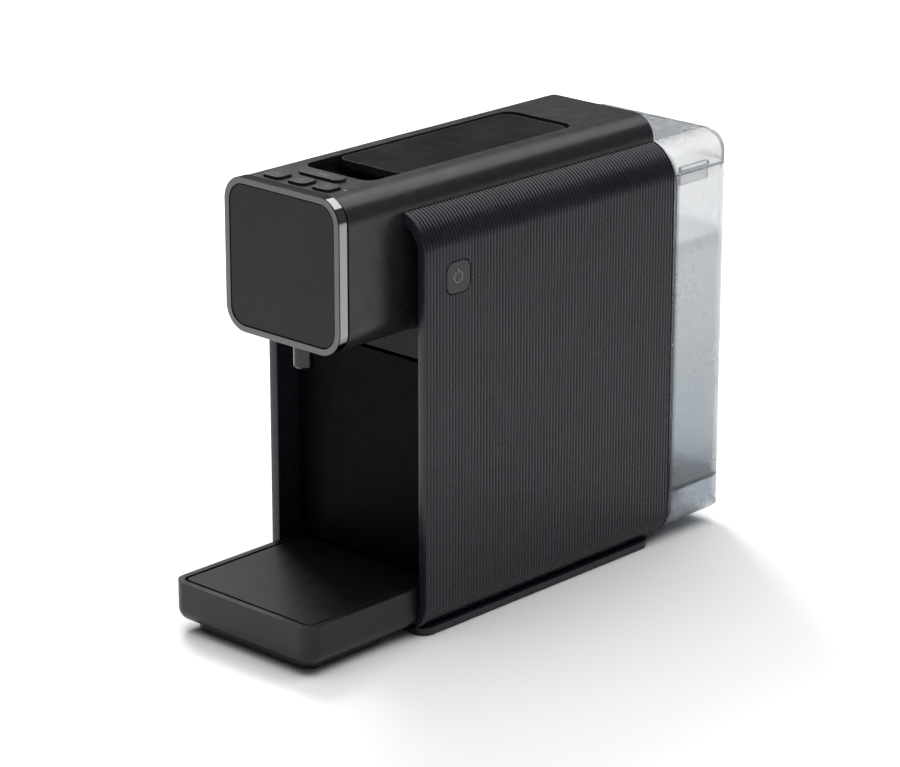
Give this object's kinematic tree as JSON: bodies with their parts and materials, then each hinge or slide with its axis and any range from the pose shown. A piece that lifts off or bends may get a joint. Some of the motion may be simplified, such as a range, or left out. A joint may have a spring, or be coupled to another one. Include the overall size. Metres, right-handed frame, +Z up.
{
  "type": "pod coffee machine",
  "caption": "Slim pod coffee machine: square brewing head over a cup tray, ribbed side panels, lift-up lever on top, used-pod container and a removable rear water tank.",
  "frame": {"origin": "on the surface the machine stands on, under the middle of its box", "axes": "+Z up; the brewing head and drip tray face -Y and the water tank is at +Y; +X is on the right seen from the front"},
  "size_m": [0.1182, 0.3332, 0.25],
  "materials": {
    "charcoal_panel": "satin, fine moulded ribs",
    "charcoal_shell": "satin",
    "black_plastic": "fine matt grain",
    "satin_black_tray": "satin",
    "dark_chrome": "dark polished",
    "grey_plate": "smooth matt",
    "key_caps": "satin",
    "lever_grain": "fine grain",
    "frosted_tank": "frosted translucent",
    "steel": "brushed",
    "rubber": "matt",
    "grey_inner": "moulded",
    "aluminium_cast": "cast",
    "board_green": "lacquered",
    "silicone": "translucent hose",
    "light_lens": "polished"
  },
  "bodies": {
    "machine": {"base_plate": "charcoal_panel", "rubber_feet": "rubber", "case_screws": "steel", "cable_grommet": "black_plastic", "left_side_panel": "charcoal_panel", "right_side_panel": "charcoal_panel", "upper_shell": "charcoal_shell", "front_bezel": "dark_chrome", "front_plate": "grey_plate", "column_cover": "charcoal_shell", "rear_cover": "charcoal_shell", "coffee_nozzle": "dark_chrome", "control_board": "board_green", "key_switches": "black_plastic", "indicator_lenses": "light_lens", "power_switch": "black_plastic", "lever_well": "black_plastic", "lever_hinge_pin": "steel", "inlet_needle_plate": "steel", "brew_housing": "grey_inner", "coffee_duct": "black_plastic", "chassis": "grey_inner", "pump": "black_plastic", "pump_mounts": "rubber", "heater_block": "aluminium_cast", "flow_meter": "grey_inner", "power_board": "board_green", "suction_tube": "silicone", "pump_tube": "silicone", "pressure_tube": "silicone", "hot_water_tube": "silicone", "tank_dock": "black_plastic", "dock_seal": "rubber"},
    "lever": {"lever_frame": "charcoal_shell", "lever_pad": "lever_grain", "crank_pin": "steel"},
    "links": {"left_link": "grey_inner", "right_link": "grey_inner", "carriage_pin": "steel"},
    "carriage": {"brew_carriage": "grey_inner", "outlet_needle_plate": "steel"},
    "left_key": {"key_small_left": "key_caps"},
    "middle_key": {"key_small_middle": "key_caps"},
    "right_key": {"key_small_right": "key_caps"},
    "long_key": {"key_long": "key_caps"},
    "power_key": {"power_button": "charcoal_panel"},
    "tank": {"water_tank": "frosted_tank", "valve_cage": "frosted_tank"},
    "lid": {"tank_lid": "frosted_tank"},
    "valve": {"tank_valve": "black_plastic"},
    "tray": {"drip_tray": "satin_black_tray"},
    "cup_rest": {"cup_plate": "satin_black_tray"},
    "container": {"pod_container": "charcoal_shell"}
  },
  "joints": [
    {"name": "lever_hinge", "type": "hinge", "parent": "machine", "child": "lever", "pos_m": [0, 0.057, 0.24], "axis": [-1, 0, 0], "range_deg": [0, 75]},
    {"name": "link_swing", "type": "hinge", "parent": "lever", "child": "links", "pos_m": [0, 0.06431, 0.23048], "axis": [-1, 0, 0], "range_deg": [-75.5, 0.5]},
    {"name": "carriage_slide", "type": "slide", "parent": "machine", "child": "carriage", "axis": [0, -1, 0], "range_m": [-0.0002, 0.0149]},
    {"name": "left_key_press", "type": "slide", "parent": "machine", "child": "left_key", "axis": [0, 0, -1], "range_m": [0, 0.0008], "stiffness_N_per_m": 400, "springref_m": -0.0005},
    {"name": "middle_key_press", "type": "slide", "parent": "machine", "child": "middle_key", "axis": [0, 0, -1], "range_m": [0, 0.0008], "stiffness_N_per_m": 400, "springref_m": -0.0005},
    {"name": "right_key_press", "type": "slide", "parent": "machine", "child": "right_key", "axis": [0, 0, -1], "range_m": [0, 0.0008], "stiffness_N_per_m": 400, "springref_m": -0.0005},
    {"name": "long_key_press", "type": "slide", "parent": "machine", "child": "long_key", "axis": [0, 0, -1], "range_m": [0, 0.0008], "stiffness_N_per_m": 400, "springref_m": -0.0005},
    {"name": "power_button_press", "type": "slide", "parent": "machine", "child": "power_key", "axis": [-1, 0, 0], "range_m": [0, 0.0012], "stiffness_N_per_m": 400},
    {"name": "tank_lift", "type": "slide", "parent": "machine", "child": "tank", "axis": [0, 0, 1], "range_m": [0, 0.25]},
    {"name": "tank_lid_lift", "type": "slide", "parent": "tank", "child": "lid", "axis": [0, 0, 1], "range_m": [0, 0.04]},
    {"name": "tank_valve_slide", "type": "slide", "parent": "tank", "child": "valve", "axis": [0, 0, 1], "range_m": [0, 0.003], "stiffness_N_per_m": 100},
    {"name": "drip_tray_slide", "type": "slide", "parent": "machine", "child": "tray", "axis": [0, -1, 0], "range_m": [0, 0.115]},
    {"name": "cup_plate_lift", "type": "slide", "parent": "tray", "child": "cup_rest", "axis": [0, 0, 1], "range_m": [0, 0.03]},
    {"name": "pod_container_slide", "type": "slide", "parent": "machine", "child": "container", "axis": [0, -1, 0], "range_m": [0, 0.085]}
  ],
  "couplings": [
    {"joint": "link_swing", "follows": "lever_hinge", "ratio": -1},
    {"joint": "carriage_slide", "follows": "lever_hinge", "m_per_rad": 0.011161}
  ]
}
